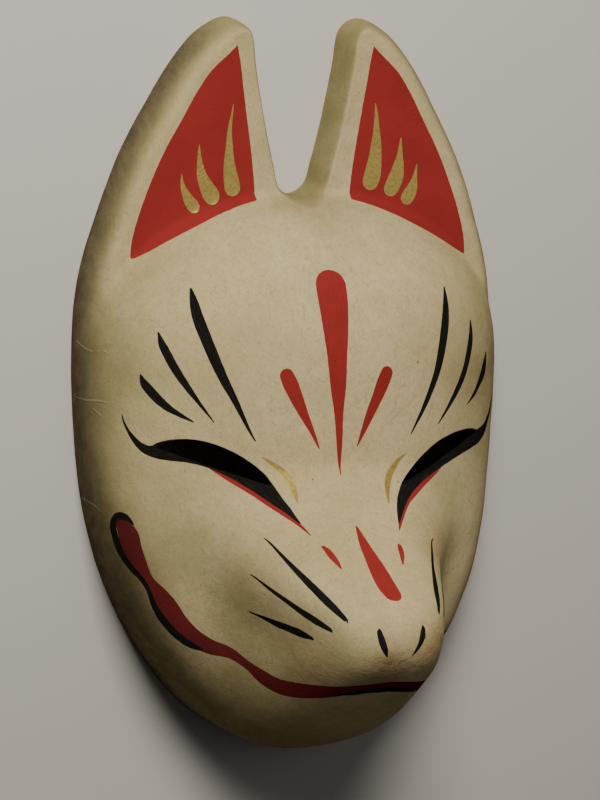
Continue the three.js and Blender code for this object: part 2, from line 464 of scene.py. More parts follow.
bpy.ops.object.mode_set(mode="EDIT")
bpy.ops.mesh.select_all(action="DESELECT")
bpy.ops.object.mode_set(mode="OBJECT")
mask.data.vertices.foreach_set("select", positions(mask.data)[:, 2] < tipped_below)
bpy.ops.object.mode_set(mode="EDIT")
bpy.ops.transform.resize(value=(1, 1, 0), center_override=(0, 0, 0))
bpy.ops.object.mode_set(mode="OBJECT")
print("wall", wall / MM, "mm,", len(mask.data.polygons), "faces")

# %% [markdown]
# The eyes are long slits, cut with a knife once the paper is dry. Each slit is a tall prism
# of its outline, taken away with a Boolean modifier. The prism carries the ink finish, so
# the cut edge comes out black, as the painter leaves it.

# %% Eye slits
eye_points = {
    "left": [(-26.6, -30.1), (-29.1, -25.7), (-33.5, -22), (-41.4, -17.3), (-49.6, -14.3),
        (-57.5, -13.6), (-66, -16.6), (-58.4, -19.7), (-46.5, -24), (-35.2, -27.6)],
    "right": [(25.9, -32), (30.7, -27.5), (37.5, -22), (45.1, -17.4), (53.3, -15.1),
        (61, -14.7), (65.8, -16.2), (60.1, -19.5), (50.7, -23.3), (38.8, -28.4)],
}
eye_steps = 6
prism_height = 0.12


def cut_eye(points):
    plan = smooth_curve(points, eye_steps, closed=True)
    prism = added(bpy.ops.mesh.primitive_circle_add, vertices=len(plan), fill_type="NGON")
    move_points(prism.data, np.column_stack([plan * MM, np.zeros(len(plan))]))
    bpy.ops.object.mode_set(mode="EDIT")
    bpy.ops.mesh.select_all(action="SELECT")
    bpy.ops.mesh.extrude_region_move(TRANSFORM_OT_translate={"value": (0, 0, prism_height)})
    bpy.ops.mesh.select_all(action="SELECT")
    bpy.ops.mesh.normals_make_consistent(inside=False)
    bpy.ops.object.mode_set(mode="OBJECT")
    prism.data.materials.append(ink_finish)
    cut = mask.modifiers.new("eye_slit", "BOOLEAN")
    cut.operation = "DIFFERENCE"
    cut.solver = "EXACT"
    cut.material_mode = "TRANSFER"
    cut.object = prism
    apply_modifier(mask, cut)
    bpy.data.objects.remove(prism)


for side, points in eye_points.items():
    cut_eye(points)
    print(side, "slit cut, faces now", len(mask.data.polygons))

# %% [markdown]
# The brush marks are colour only, neither raised nor cut. Each is written as a painter makes
# it: a centreline of a few points with half a width at each, in millimetres on the plan, and
# it is lifted onto the skin. For each colour the mesh keeps how far a point lies to the side
# of the nearest centreline, how wide that mark is there, and how far along it is. The finish
# paints where the first is less than the second, so the edges are far finer than the mesh.
# Marks that lie side by side count their sides in turn from the left and from the right, so
# no false line shows between them. A fourth number, the depth from the mark's edge, rounds
# off the broad ends.

# %% How a mark is laid on the skin
mark_steps = 8
mark_reach = 2.6
mark_spread = 0.1
end_fall = 2.0
bare_numbers = (3.0, -9.0, 0.0)
slope_step = 0.05


def skin_normals(places):
    """Outward directions of the skin, from its slope along x and along y."""
    x, y = places[:, 0], places[:, 1]
    slope_x = (skin_height(x + slope_step, y) - skin_height(x - slope_step, y)) / 2 / slope_step
    slope_y = (skin_height(x, y + slope_step) - skin_height(x, y - slope_step)) / 2 / slope_step
    return np.column_stack([-slope_x, -slope_y, np.ones(len(x))])


def lay_mark(fine, places, spots):
    """At each spot: distance to the side, half width, distance along, and depth in the mark."""
    starts = places[:-1]
    runs = places[1:] - starts
    run_lengths = np.linalg.norm(runs, axis=1)
    tangents = runs / run_lengths[:, None]
    sideways = np.cross(skin_normals(starts), tangents)
    sideways /= np.linalg.norm(sideways, axis=1)[:, None]
    gaps = spots[:, None] - starts
    t = np.clip((gaps * tangents).sum(axis=2), 0, run_lengths)
    gaps -= t[..., None] * tangents
    nearest = (gaps * gaps).sum(axis=2).argmin(axis=1)
    rows = np.arange(len(spots))
    gap = gaps[rows, nearest]
    side = (gap * sideways[nearest]).sum(axis=1)
    lengths = running_lengths(places)
    distance = lengths[nearest] + t[rows, nearest]
    half = np.interp(distance, lengths, fine[:, 2]) + mark_spread
    at_end = (distance <= 0) | (distance >= lengths[-1])
    past = np.abs((gap * tangents[nearest]).sum(axis=1)) * at_end
    depth = half - np.hypot(side, past)
    return side, half - end_fall * past, distance, depth


def lay_colour(marks, spots):
    """The three numbers and the depth at every spot, for all the marks of one colour."""
    numbers = np.tile(bare_numbers, (len(spots), 1))
    deepest = np.full(len(spots), -mark_reach)
    for count, points in enumerate(marks.values()):
        fine = smooth_curve(points, mark_steps)
        places = np.column_stack([fine[:, :2], skin_height(fine[:, 0], fine[:, 1])])
        margin = fine[:, 2].max() + mark_reach
        inside = (spots > places.min(axis=0) - margin) & (spots < places.max(axis=0) + margin)
        near = np.flatnonzero(inside.all(axis=1))
        side, half, distance, depth = lay_mark(fine, places, spots[near])
        better = depth > deepest[near]
        chosen = near[better]
        deepest[chosen] = depth[better]
        turned_side = side[better] * (-1) ** count
        numbers[chosen] = np.column_stack([turned_side, half[better], distance[better]])
    return numbers, deepest


outer = np.zeros(len(mask.data.vertices), bool)
for face in mask.data.polygons:
    if face.material_index == 0:
        outer[list(face.vertices)] = True
skin_spots = positions(mask.data)[outer] / MM
print(len(skin_spots), "points to paint")

# %% [markdown]
# Black goes on the brows, the whiskers, the nostrils, the eyes and the edge of the mouth.
# The two halves of the face were painted by eye, so each side has its own points. Only the
# lowest right whisker, which the photograph hides, mirrors the left one.

# %% Black brush marks
black_marks = {
    "left_brow_inner": [(-52.6, 41.6, 0.15), (-52.2, 36, 1.5), (-51.5, 30.6, 2), (-48.4, 20.5, 2),
        (-44.4, 10.3, 1.7), (-39.3, 0.3, 1.1), (-34.3, -9.9, 0.45), (-31.6, -14.6, 0.1)],
    "left_brow_middle": [(-64.9, 25.2, 0.15), (-64, 21, 1.25), (-62.7, 17.8, 1.5),
        (-59.8, 11.6, 1.45), (-56.2, 5.8, 1.15), (-52.2, 0.1, 0.65), (-46.6, -7.4, 0.1)],
    "left_brow_outer": [(-70.9, 9.6, 0.2), (-69.8, 6.4, 1.35), (-68.4, 4.4, 1.65),
        (-65.6, 0.9, 1.6), (-62.4, -2.1, 1.25), (-58.7, -4.5, 0.8), (-53.6, -7.3, 0.1)],
    "right_brow_inner": [(50.7, 40, 0.15), (50.2, 34, 1.3), (49.2, 28, 1.85), (46.4, 17.5, 1.85),
        (43.1, 7.1, 1.4), (38.4, -3, 0.95), (31.6, -14.3, 0.1)],
    "right_brow_middle": [(63.2, 27, 0.15), (62.8, 22, 1.1), (62, 18.1, 1.45), (59.5, 10.6, 1.4),
        (55.9, 3.4, 1.3), (51.2, -3.4, 0.8), (44.8, -11, 0.1)],
    "right_brow_outer": [(71.8, 13.6, 0.2), (70.9, 9.2, 1.6), (69.5, 5.4, 1.75), (67, 1.9, 1.15),
        (64.3, -1.5, 0.75), (60.2, -5, 0.1)],
    "left_whisker_upper": [(-34.1, -47.3, 0.05), (-32.9, -48.6, 0.25), (-30, -53.4, 0.6),
        (-27.2, -58.1, 1), (-24.5, -62.5, 1.25), (-21.8, -66.9, 1.25), (-18.5, -71.6, 0.6)],
    "left_whisker_middle": [(-39.5, -60.4, 0.05), (-38.2, -61.4, 0.2), (-35.1, -64.7, 0.55),
        (-32.1, -67.6, 0.8), (-29.1, -70.5, 1.05), (-25.9, -73.1, 1.2), (-22.4, -75.7, 0.5)],
    "left_whisker_lower": [(-38.8, -74.9, 0.05), (-37.9, -75.3, 0.2), (-35.4, -76.3, 0.6),
        (-33.1, -77.4, 1.15), (-30.8, -78.1, 1.3), (-28.5, -78.9, 1.4), (-26, -79.9, 0.4)],
    "right_whisker_upper": [(33.6, -50.5, 0.05), (32.3, -50.8, 0.2), (29, -54.8, 0.6),
        (25.7, -58.8, 0.8), (22.9, -62.7, 1.3), (20.2, -66.5, 1.2), (18, -71, 0.5)],
    "right_whisker_middle": [(37.8, -56.9, 0.05), (35.8, -59.4, 0.2), (32.3, -62.6, 0.5),
        (29.1, -65.3, 0.7), (26.1, -67.7, 0.75), (23.8, -70.4, 0.75), (21.4, -73.2, 0.35)],
    "left_nostril": [(-8.7, -74.2, 0.75), (-8.4, -76.3, 1.1), (-7.8, -78.8, 1.2),
        (-6.8, -81.4, 0.95), (-5.6, -84.2, 0.05)],
    "right_nostril": [(9.1, -73.3, 0.3), (8.5, -76.2, 1.1), (7.4, -79.1, 0.85), (5.8, -81.8, 0.5),
        (3.9, -84.5, 0.05)],
    "left_eye": [(-76.1, -5.3, 0.05), (-75.4, -8.5, 0.3), (-74.2, -11.5, 0.5),
        (-72.2, -14.9, 0.95), (-70, -17.3, 1.4), (-67.6, -18.4, 1.85), (-65, -18.2, 3),
        (-61.7, -17.8, 3.75), (-54.6, -17.9, 4.3), (-46.9, -19.8, 4.4), (-39, -23.6, 4.35),
        (-31.5, -28.8, 4), (-28.8, -31.6, 3.35), (-25.7, -35.3, 2.25), (-23.1, -38.2, 1.4),
        (-20, -42.9, 0.05)],
    "right_eye": [(78.7, -2.8, 0.05), (76.7, -9.8, 1.05), (74.5, -12.9, 1.3), (72.3, -15.6, 1.9),
        (69.7, -17.1, 2.4), (66.7, -18.2, 2.8), (63.1, -18.2, 3.75), (55.4, -19.3, 4.6),
        (47.7, -21.7, 4.8), (39.7, -25.6, 4.1), (35.7, -28.1, 3.5), (28.7, -32.8, 2.7),
        (25.2, -36, 2.1), (22.8, -38.6, 1.65), (20.7, -41.2, 1), (18.4, -44.4, 0.05)],
    "left_mouth_edge": [(-71.9, -46.6, 0.05), (-73.2, -44.8, 0.7), (-74.7, -43.6, 1.3),
        (-76.2, -43.6, 1.3), (-77, -45.6, 1.4), (-77, -48.4, 1.6), (-76.2, -52.1, 1.75),
        (-75.2, -55.6, 1.9), (-74, -58.7, 1.6), (-71.8, -62.7, 1.35), (-69.1, -66.3, 1.1),
        (-66.9, -70.3, 0.9), (-65.1, -75.3, 1.15), (-62.6, -80.2, 1.6), (-58.4, -85.7, 1.5),
        (-53.8, -89.7, 1.4), (-50.4, -91.4, 1.05), (-48, -92.6, 0.2)],
    "right_mouth_edge": [(74.7, -47.2, 0.05), (75.9, -45.2, 0.7), (77.1, -44, 1.3),
        (78.2, -44.1, 1.3), (78.5, -45.9, 1.5), (78.2, -49, 1.8), (77.4, -52.8, 2.1),
        (76.4, -56.3, 2.2), (75.1, -59.6, 2), (73.2, -63.7, 1.6), (71.2, -67.3, 1.3),
        (69.9, -71.6, 1.2), (68.3, -77.2, 1.4), (65.9, -82.6, 1.6), (62.4, -88.6, 1.5),
        (59.2, -93.9, 1.2), (56, -97, 0.2)],
    "mouth_middle": [(-16.2, -101.3, 0.05), (-13.7, -100.7, 0.55), (-11, -100.2, 1.4),
        (-6.2, -99.1, 1.9), (-0.5, -98.9, 2.05), (2.1, -98.9, 1.9), (8.6, -100.1, 1.3),
        (13, -101.3, 0.75), (17.6, -102.7, 0.05)],
}
lower_whisker = black_marks["left_whisker_lower"]
black_marks["right_whisker_lower"] = [(-x, y, half) for x, y, half in lower_whisker]
print(len(black_marks), "black marks")

# %% [markdown]
# Red goes on the forehead, the top of the muzzle, the lower lids and the mouth. The mouth is
# one long ribbon from cheek to cheek, widest near its ends and in the middle of each side.
# Its red is darker, partly a deeper paint and partly painted shade.

# %% Red brush marks
red_marks = {
    "forehead_left": [(-20.6, 10, 2.6), (-19.1, 6.7, 2.8), (-16.3, 0.9, 2.35), (-13.4, -5, 1.6),
        (-10.4, -10.8, 0.9), (-7, -18, 0.05)],
    "forehead_middle": [(-0.6, 42.2, 6), (-0.6, 38.1, 6), (-0.7, 27.7, 5.2), (-0.7, 17.2, 4),
        (-0.3, 6.4, 3.15), (0.2, -4.5, 1.75), (0.8, -15.4, 1.15), (1.1, -27.5, 0.05)],
    "forehead_right": [(20.2, 9.8, 2.5), (18.7, 6.5, 2.7), (16.2, 0.9, 2.25), (13.5, -4.7, 1.8),
        (11.1, -10.3, 1.1), (8, -17.5, 0.05)],
    "muzzle": [(0.8, -43, 0.05), (0.5, -48.8, 1.7), (0.6, -53.2, 2.6), (0.6, -57.5, 3.3),
        (0.9, -61.8, 3.6), (1.6, -63.9, 3.3)],
    "muzzle_left": [(-15.9, -49.3, 0.6), (-14.7, -50.7, 1.15), (-14.2, -52.4, 1.3),
        (-13.5, -54, 1), (-13, -56.3, 0.05)],
    "muzzle_right": [(14.8, -49.9, 0.6), (14.1, -51.3, 1), (13.7, -52.7, 0.9),
        (12.8, -54.2, 0.65), (11.4, -56.3, 0.05)],
    "left_lid": [(-48.5, -23.8, 0.05), (-42.8, -27.2, 0.65), (-37.9, -30.2, 0.8),
        (-33.1, -33.3, 0.85), (-28.9, -36.5, 0.85), (-24.7, -39.5, 0.9), (-20.9, -42.7, 0.65),
        (-18, -46.4, 0.05)],
    "right_lid": [(46.6, -27.4, 0.05), (41.4, -29.9, 0.8), (36.5, -32.5, 0.85), (31.9, -34.8, 1),
        (26.8, -37.4, 1.05), (23.8, -39.6, 1.1), (20.8, -42.3, 0.95), (17.2, -46.4, 0.05)],
}
mouth_marks = {
    "mouth": [(-75, -46.6, 3.3), (-73.4, -50.9, 4.6), (-72.4, -55.1, 4.5), (-70.2, -61.3, 3.9),
        (-67, -67.1, 2.3), (-64.2, -71, 2.9), (-61.3, -75.7, 3.85), (-57.2, -82, 3.65),
        (-52.3, -87.2, 3.4), (-46.1, -90.9, 2.95), (-40.7, -92.3, 2.15), (-36.2, -96.2, 1.85),
        (-33.1, -99.3, 3), (-28.6, -101.9, 3.4), (-18.5, -99.9, 3.1), (-11.5, -98.1, 2.9),
        (-2.1, -96.6, 2.3), (2.1, -96.6, 2.3), (11.5, -98.1, 2.9), (18.5, -99.9, 3.1),
        (28.6, -101.9, 3.4), (33.1, -100.3, 3), (36.8, -98.2, 1.9), (42, -97, 2.2),
        (48.5, -96.4, 2.6), (55, -94.9, 2.9), (60.1, -91.3, 3.3), (63.6, -85.1, 3.5),
        (66.9, -78.7, 3.7), (68.9, -73.2, 2.6), (70.4, -68.6, 2.1), (73.1, -62.3, 3.4),
        (75.3, -55.8, 4), (76.3, -52, 4), (77.1, -47.3, 2.9)],
}
print(len(red_marks), "red marks and the mouth")

# %% [markdown]
# Gold goes over the red: three drops in each ear, thin at the top and round below, and a
# crescent beside the inner corner of each eye.

# %% Gold brush marks
gold_marks = {
    "left_drop_inner": [(-29.1, 107.2, 0.05), (-29.6, 103.5, 0.3), (-30.4, 97.3, 0.75),
        (-30.4, 91.2, 1.3), (-30.3, 85.1, 2.1), (-29.3, 79, 2.9), (-28.7, 76, 3)],
    "left_drop_middle": [(-42.4, 92.5, 0.05), (-42.4, 88.7, 0.5), (-42, 84.7, 1.1),
        (-41.2, 80.8, 1.85), (-39.5, 77.1, 2.55), (-37.4, 73.7, 3.1), (-36.9, 72.9, 3)],
    "left_drop_outer": [(-49.2, 81.5, 0.05), (-49, 78.2, 0.5), (-48.3, 75.8, 1),
        (-47.2, 73.5, 1.55), (-45.9, 71.3, 2), (-44.2, 69.3, 2.4)],
    "right_drop_inner": [(29.5, 107.5, 0.05), (30, 103.8, 0.5), (30.3, 97.9, 1.15),
        (30.4, 92.1, 2), (30, 86.2, 2.65), (29.1, 80.4, 3.3), (28.4, 78, 3.2)],
    "right_drop_middle": [(40.8, 95, 0.05), (40.6, 92.4, 0.4), (40.5, 88.2, 1.05), (40, 84, 2.1),
        (39.2, 80, 2.9), (37.6, 76.1, 3), (37.1, 75.2, 2.9)],
    "right_drop_outer": [(47.7, 84.5, 0.05), (47.4, 82.2, 0.4), (47, 79.4, 0.85),
        (46.4, 76.7, 1.7), (45.4, 74.1, 2.4), (44, 71.7, 2.6)],
    "left_crescent": [(-29.6, -19.8, 0.05), (-25.7, -22.3, 0.55), (-22, -25, 1.05),
        (-19.5, -28.1, 1.3), (-18.4, -32, 1.1), (-18.5, -36.2, 0.05)],
    "right_crescent": [(29.6, -21.1, 0.05), (26.3, -23.2, 0.65), (23.7, -25.8, 1.1),
        (21.3, -28.6, 1.2), (19.7, -31.8, 1.05), (18.7, -34.5, 0.7), (17.6, -38.2, 0.05)],
}
print(len(gold_marks), "gold marks")

# %% [markdown]
# The red inside an ear is a filled shape and not a line, so it is drawn by its outline, and
# only the depth from that outline is kept.

# %% Red inside the ears
ear_red_sides = [
    [(28, 129), (32, 125.2), (38, 119.8), (43.5, 112.2), (50, 100.8), (56, 90.2),
     (61.5, 78.2), (66, 66.2), (68.5, 57.2), (69.3, 49.5)],
    [(69.3, 49.5), (63, 52.8), (55, 57.2), (45.7, 61.8), (36, 66.2), (27, 69.5), (19.5, 71.5)],
    [(19.5, 71.5), (20, 77.8), (21.4, 88.8), (23.3, 100.8), (25.3, 113.8), (26.6, 122.2),
     (28, 129)],
]


def depth_inside(edge, x, y):
    """Depth from a closed outline: positive inside it, and negative outside."""
    ends = np.roll(edge, -1, axis=0)
    spots = np.column_stack([x, y])
    crossings = np.zeros(len(x), bool)
    nearest = np.full(len(x), np.inf)
    for start, end in zip(edge, ends):
        run = end - start
        t = np.clip(((spots - start) @ run) / max(run @ run, 1e-12), 0, 1)
        gap = np.linalg.norm(spots - start - t[:, None] * run, axis=1)
        nearest = np.minimum(nearest, gap)
        passes = (start[1] > y) != (end[1] > y)
        if start[1] != end[1]:
            crossings ^= passes & (x < start[0] + (y - start[1]) / run[1] * run[0])
    return np.where(crossings, nearest, -nearest)


ear_edge = np.vstack([smooth_curve(side, mark_steps)[:-1] for side in ear_red_sides])
ear_depth = depth_inside(ear_edge, np.abs(skin_spots[:, 0]), skin_spots[:, 1])
red_numbers, red_depth = lay_colour(red_marks, skin_spots)
red_depth = np.maximum(red_depth, ear_depth)
print("ear outlines of", len(ear_edge), "points")

# %% [markdown]
# A few fine wrinkles run in from the left rim, where the paper was folded over the mould's
# edge. They are laid as the marks are, in a field of their own. The finish raises them a
# little, and makes them a little paler.

# %% Wrinkles, and the numbers kept on the mesh
wrinkles = {
    "rim_fold_upper": [(-85.9, 19, 0.1), (-85.3, 17.4, 0.3), (-84.6, 16.6, 0.3), (-83, 16, 0.05)],
    "rim_fold_inner": [(-81.2, 17.2, 0.05), (-80.4, 16.7, 0.25), (-79.6, 16.1, 0.05)],
    "rim_fold_middle": [(-86, -2, 0.1), (-84.6, -2.3, 0.3), (-82.5, -1.8, 0.25), (-80, -2, 0.05)],
    "rim_fold_slant": [(-83.5, -4.6, 0.05), (-82.4, -5.9, 0.25), (-80.9, -7.9, 0.05)],
    "rim_fold_lower": [(-82, -40, 0.05), (-80.6, -41.6, 0.3), (-79.2, -43.9, 0.05)],
    "brow_nick": [(-75.4, 31, 0.05), (-74.2, 31.1, 0.2), (-73, 31.2, 0.05)],
}


def keep(name, kind, field, values, bare):
    """Keeps values for the points of the outer skin, and the bare ones for the others."""
    whole = np.tile(bare, (len(mask.data.vertices), 1))
    whole[outer] = values
    mask.data.attributes.new(name, kind, "POINT").data.foreach_set(field, whole.ravel())


def keep_marks(name, numbers, depth):
    keep(name + "_marks", "FLOAT_VECTOR", "vector", numbers, bare_numbers)
    keep(name + "_depth", "FLOAT", "value", depth[:, None], -mark_reach)


keep_marks("red", red_numbers, red_depth)
layers = {"mouth": mouth_marks, "black": black_marks, "gold": gold_marks, "wrinkle": wrinkles}
for name, marks in layers.items():
    keep_marks(name, *lay_colour(marks, skin_spots))
print("kept", [attribute.name for attribute in mask.data.attributes])

# %% [markdown]
# Age shows as an olive tone in the ground, at the rim and on the steep side walls most, and
# as a brown stain under the nose, in the valley beside the muzzle and in the notch between
# the ears. Along the rim a dark umber is partly the wear of hands and partly painted shade:
# strongest on the left, widest round the chin and deepest low on the walls. All of it
# depends on where a point lies on the form, so it is worked out here and kept on the mesh,
# and the finish breaks it up with noise.

# %% Where the ground has aged, and where shade is painted
rim_tone_reach = 15.0
steep_share = 0.62
rim_share = 0.3
wall_reach = 3.5
ear_wall_reach = 4.0
chin_reach = 20.0
wall_fade = 45.0
# Strengths of the rim's umber, which is wear of hands and painted shade: more on the left and low
# down.
left_handling_and_shade = 0.95
right_handling_and_shade = 0.5
ear_handling_and_shade = 0.9
high_handling_and_shade = 0.3
# Each place is x, y, z, how far it spreads and how strong it is.
olive_places = [
    (-58, -58, 40, 22, 0.4), (-44, -80, 50, 24, 0.4), (-30, -88, 76, 14, 0.3),
    (-12, -86, 102, 14, 0.3), (46, -34, 46, 16, 0.3), (62, -20, 37, 18, 0.42),
    (66, 8, 34, 24, 0.55), (-76, 14, 28, 14, 0.25),
]
brown_places = [
    (-1, -88, 107, 13, 0.82), (13, -82, 107, 12.5, 0.9), (-20, -90, 90, 14, 0.45),
    (33, -54, 68, 12, 0.58), (53, -58, 46, 12, 0.2), (70, 12, 30, 22, 0.3),
    (0, 74, 14, 9, 0.25), (6, -112, 84, 20, 0.35),
]


def spread_from(places):
    """Strongest at each place, fading over its reach."""
    share = np.zeros(len(skin_spots))
    for x, y, z, reach, strength in places:
        gap = np.linalg.norm(skin_spots - (x, y, z), axis=1)
        share = np.maximum(share, strength * np.exp(-((gap / reach) ** 2)))
    return share


def handling_and_shade_at(x, y, z, to_rim, place):
    """How dark handling and painted shade make the rim: left most, round the chin widest."""
    on_outer = 1 - smooth_step((place - tip_index + 2) / 2)
    on_left = between(right_handling_and_shade, left_handling_and_shade, ease(x, 20, -20))
    on_wall = between(ear_handling_and_shade, 1, ease(y, 58, 18))
    on_wall *= between(high_handling_and_shade, 1, np.exp(-z / wall_fade))
    side_reach = between(wall_reach, ear_wall_reach, ease(y, 40, 80))
    reach = between(side_reach, chin_reach, np.clip((-45 - y) / 80, 0, 1))
    return on_outer * on_left * on_wall * np.exp(-((to_rim / reach) ** 2))


normals = np.empty(len(mask.data.vertices) * 3)
mask.data.vertices.foreach_get("normal", normals)
steepness = 1 - np.clip(normals.reshape(-1, 3)[outer, 2], 0, 1)
to_rim, place = rim_distance(skin_spots[:, 0], skin_spots[:, 1])
rim_tone = np.exp(-to_rim / rim_tone_reach)
steep_tone = ease(steepness, 0.1, 0.6) * rim_tone**0.3
tone = steep_share * steep_tone + rim_share * rim_tone + spread_from(olive_places)
stain = spread_from(brown_places)
# The rim's umber: wear of hands, and painted shade on the left, round the chin and low on the
# walls.
handling_and_shade = handling_and_shade_at(*skin_spots.T, to_rim, place)
age_and_shade = np.column_stack([np.clip(tone, 0, 1), stain, handling_and_shade])
keep("age_and_shade", "FLOAT_VECTOR", "vector", age_and_shade, bare_numbers)
print("mean tone", round(float(tone.mean()), 2), "brown places", len(brown_places))

# %% [markdown]
# All finishes are built from a few kinds of node. One helper adds a node, sets it up and
# wires its inputs, so each finish reads as a list of layers from the ground up.

# %% Helpers for the finishes
def set_inputs(tree, node, inputs):
    """Gives each input a plain value, or wires another node's output into it."""
    for key, value in inputs.items():
        if isinstance(value, bpy.types.NodeSocket):
            tree.links.new(value, node.inputs[key])
        else:
            node.inputs[key].default_value = value


def put(tree, kind, inputs, **settings):
    """Adds a node, sets it up, and gives its first output."""
    node = tree.nodes.new("ShaderNode" + kind)
    for name, value in settings.items():
        setattr(node, name, value)
    set_inputs(tree, node, inputs)
    return node.outputs[0]


def compute(tree, operation, first, second=0.0):
    return put(tree, "Math", {0: first, 1: second}, operation=operation)


def times(tree, first, second):
    return compute(tree, "MULTIPLY", first, second)


def plus(tree, first, second):
    return compute(tree, "ADD", first, second)


def remap(tree, value, low, high, to_low=0.0, to_high=1.0):
    """A soft step of the value from low to high."""
    inputs = {0: value, 1: low, 2: high, 3: to_low, 4: to_high}
    return put(tree, "MapRange", inputs, interpolation_type="SMOOTHSTEP")


def blend_colours(tree, share, first, second):
    put(tree, "Mix", {0: share, 6: first, 7: second}, data_type="RGBA")
    return tree.nodes[-1].outputs[2]


def object_place(tree):
    return tree.nodes.new("ShaderNodeTexCoord").outputs["Object"]


def kept_numbers(tree, name):
    """The three numbers that the mesh keeps under a name."""
    put(tree, "Attribute", {}, attribute_name=name)
    put(tree, "SeparateXYZ", {0: tree.nodes[-1].outputs["Vector"]})
    return tree.nodes[-1].outputs


def grain(tree, scale, stretch=(1, 1, 1), turn=(0, 0, 0), detail=3.0, roughness=0.5, swirl=0.0):
    """Noise in lumps per metre. Its axes are turned first, and then stretched."""
    place = put(tree, "Mapping", {0: object_place(tree), "Rotation": turn})
    place = put(tree, "VectorMath", {0: place, 1: stretch}, operation="MULTIPLY")
    inputs = {"Vector": place, "Scale": scale, "Detail": detail}
    return put(tree, "TexNoise", {**inputs, "Roughness": roughness, "Distortion": swirl})


print("helpers ready")

# %% [markdown]
# The ground is crushed-shell white over paper, aged to ivory. Its colour drifts over broad
# patches, fine fibres and thin creases show in it, and a few dark specks sit in it. The tone
# and the stains are glazed over that, and the paper is crumpled where it is stained. Along
# the rim the dark brown of handling and painted shade is darkest.

# %% Colour of the ground
ivory = (0.615, 0.495, 0.278, 1)
ivory_pale = (0.68, 0.565, 0.35, 1)
ivory_warm = (0.54, 0.412, 0.215, 1)
ivory_green = (0.44, 0.415, 0.2, 1)
fibre_dark = (0.4, 0.33, 0.17, 1)
fibre_pale = (0.76, 0.66, 0.46, 1)
olive = (0.225, 0.2, 0.085, 1)
# Umber of handling along the rim, partly painted shade.
umber = (0.066, 0.046, 0.038, 1)
brown_stain = (0.255, 0.142, 0.062, 1)
speck_colour = (0.1, 0.075, 0.05, 1)
crease_share = 0.35
crumple_height = 4.0
fibres_per_metre = 290
fibre_turns = (0.5, -0.7, 1.6)
specks_per_metre = 75.0
speck_rarity = 0.66


def fibre_cover(tree, turn, low, high):
    """Short thin strands that lie one way."""
    strands = grain(tree, fibres_per_metre, (1, 5, 3), (0.3, 0, turn), roughness=0.65, swirl=0.5)
    return remap(tree, strands, low, high)


def crease_lines(tree):
    """Thin wandering lines, in some places only, where the paper has creased."""
    level = compute(tree, "SUBTRACT", grain(tree, 120, detail=4, roughness=0.6), 0.5)
    line = remap(tree, compute(tree, "ABSOLUTE", level), 0.018, 0.0)
    return times(tree, line, remap(tree, grain(tree, 48, detail=2), 0.5, 0.62))


def speck_cover(tree):
    distance = put(tree, "TexVoronoi", {"Vector": object_place(tree), "Scale": specks_per_metre})
    rare = compute(tree, "GREATER_THAN", tree.nodes[-1].outputs["Color"], speck_rarity)
    return times(tree, remap(tree, distance, 0.045, 0.02), rare)


def ground_colour(tree):
    """The colour of the ground, and the relief of its crumples and creases."""
    tone, stain, handling_and_shade = kept_numbers(tree, "age_and_shade")
    broad = remap(tree, grain(tree, 16, detail=4), 0.35, 0.65)
    patches = remap(tree, grain(tree, 70, detail=6, roughness=0.65), 0.35, 0.7)
    drift = remap(tree, grain(tree, 34, turn=(0.4, 0.2, 0.9), detail=5), 0.4, 0.68)
    mottle = remap(tree, grain(tree, 230, detail=5, roughness=0.7), 0.4, 0.68)
    creases = crease_lines(tree)
    uneven = remap(tree, patches, 0.0, 1.0, 0.88, 1.1)
    wear_and_shade_breakup = grain(tree, 160, (4, 0.6, 1.2), detail=5, roughness=0.65)

    # Each layer: where it covers, how strongly, and its colour.
    layers = [
        (broad, 1.0, ivory_pale),
        (patches, 0.45, ivory_warm),
        (drift, 0.4, ivory_green),
        (mottle, 0.38, ivory_green),
        *[(fibre_cover(tree, turn, 0.55, 0.66), 0.5, fibre_dark) for turn in fibre_turns],
        (fibre_cover(tree, 1.0, 0.58, 0.68), 0.4, fibre_pale),
        (creases, crease_share, fibre_dark),
        (tone, times(tree, uneven, 0.9), olive),
        # Umber along the rim: wear of hands, and painted shade low down, round the chin and on
        # the left.
        (handling_and_shade, remap(tree, wear_and_shade_breakup, 0.3, 0.7, 0.72, 1.0), umber),
        (stain, remap(tree, patches, 0.0, 1.0, 0.55, 0.9), brown_stain),
        (speck_cover(tree), 0.75, speck_colour),
    ]
    colour = ivory
    for cover, strength, paint in layers:
        colour = blend_colours(tree, times(tree, cover, strength), colour, paint)

    crumple = grain(tree, 260, detail=4, roughness=0.6, swirl=1.2)
    dents = times(tree, times(tree, stain, crumple), crumple_height)
    return colour, compute(tree, "SUBTRACT", dents, times(tree, creases, crease_share))


print("ground", [round(v, 2) for v in ivory[:3]])

# %% [markdown]
# Each colour covers the ground where its own numbers say so. A little noise makes the edge
# waver as a brush does. Along the stroke, long thin streaks show where the hairs ran, and
# they come from the distance to the side and the distance along the mark.

# %% Cover and streaks of a colour
edge_softness = 0.09
edge_waver = 0.22
streaks_across = 2.4
streaks_along = 0.16


